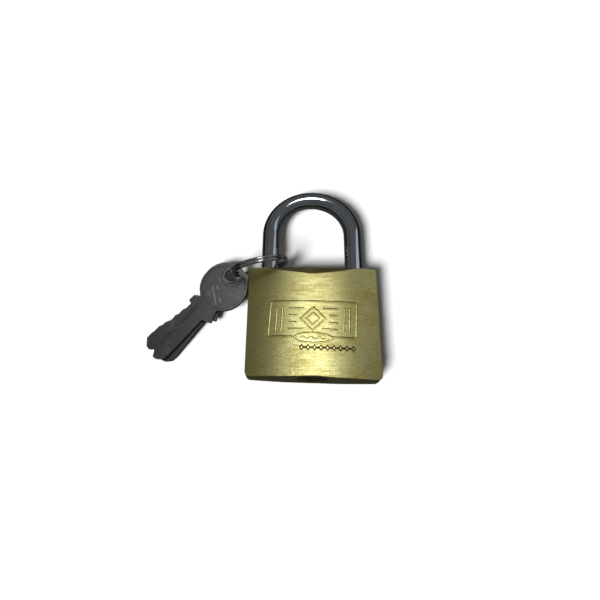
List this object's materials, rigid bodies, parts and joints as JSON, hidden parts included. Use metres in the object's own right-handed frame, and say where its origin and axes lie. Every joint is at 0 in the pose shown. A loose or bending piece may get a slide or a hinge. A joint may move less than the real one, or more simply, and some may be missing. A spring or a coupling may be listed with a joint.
{
  "type": "padlock",
  "caption": "Brass-cased key padlock with a chromed round shackle, shown lying flat and closed, with flat keys on a split ring around one shackle leg.",
  "frame": {"origin": "on the table, at the middle of the flat strip down the centre of the case's back face", "axes": "+Z out of the front face, +Y from the base towards the shackle, +X to the right as seen from the front"},
  "size_m": [0.0903, 0.0803, 0.0232],
  "materials": {
    "brass": "case, satin brass brushed across its width",
    "plug_brass": "turned brass, dull, tarnished at the keyway",
    "shackle_chrome": "bright chrome plate on hardened steel",
    "steel": "turned plain steel, lightly oiled",
    "spring_steel": "drawn spring wire",
    "key_nickel": "satin nickel plate on stamped steel",
    "ring_steel": "bright nickel plated spring wire"
  },
  "bodies": {
    "case": {"case_body": "brass", "latch_bore_cap": "brass", "heel_retaining_pin": "steel", "plug_retaining_pin": "steel", "latch_spring": "spring_steel", "shackle_spring": "spring_steel", "driver_pin_1": "plug_brass", "driver_pin_2": "plug_brass", "driver_pin_3": "plug_brass", "driver_pin_4": "plug_brass", "driver_pin_5": "plug_brass", "driver_spring_1": "spring_steel", "driver_spring_2": "spring_steel", "driver_spring_3": "spring_steel", "driver_spring_4": "spring_steel", "driver_spring_5": "spring_steel", "chamber_cap_1": "brass", "chamber_cap_2": "brass", "chamber_cap_3": "brass", "chamber_cap_4": "brass", "chamber_cap_5": "brass"},
    "shackle": {"shackle": "shackle_chrome"},
    "latch": {"latch_bolt": "steel"},
    "plug": {"cylinder_plug": "plug_brass", "plug_cam": "steel", "key_pin_1": "plug_brass", "key_pin_2": "plug_brass", "key_pin_3": "plug_brass", "key_pin_4": "plug_brass", "key_pin_5": "plug_brass"},
    "split_ring": {"split_ring": "ring_steel"},
    "key_1": {"key_1": "key_nickel"},
    "key_2": {"key_2": "key_nickel"}
  },
  "joints": [
    {"name": "shackle_lift", "type": "slide", "parent": "case", "child": "shackle", "axis": [0, 1, 0], "range_m": [0, 0.012], "deforming": ["shackle_spring"]},
    {"name": "latch_slide", "type": "slide", "parent": "case", "child": "latch", "axis": [1, 0, 0], "range_m": [0, 0.00315], "deforming": ["latch_spring"]},
    {"name": "plug_turn", "type": "hinge", "parent": "case", "child": "plug", "pos_m": [0, 0, 0.007], "axis": [0, 1, 0], "range_deg": [0, 91]},
    {"name": "ring_swing", "type": "hinge", "parent": "shackle", "child": "split_ring", "pos_m": [-0.0168, 0.024, 0.007], "axis": [0, 0, 1], "range_deg": [-14, 0]},
    {"name": "key_1_swing", "type": "hinge", "parent": "split_ring", "child": "key_1", "pos_m": [-0.0312, 0.0202, 0.008], "axis": [-0.0742, -0.0832, 0.9938], "range_deg": [-30, 0]},
    {"name": "key_2_swing", "type": "hinge", "parent": "split_ring", "child": "key_2", "pos_m": [-0.0301, 0.0209, 0.0059], "axis": [-0.0663, -0.0896, 0.9938], "range_deg": [-25, 0]}
  ],
  "couplings": [
    {"joint": "latch_slide", "follows": "shackle_lift", "ratio": 0.25917},
    {"joint": "plug_turn", "follows": "shackle_lift", "rad_per_m": 130.9}
  ]
}
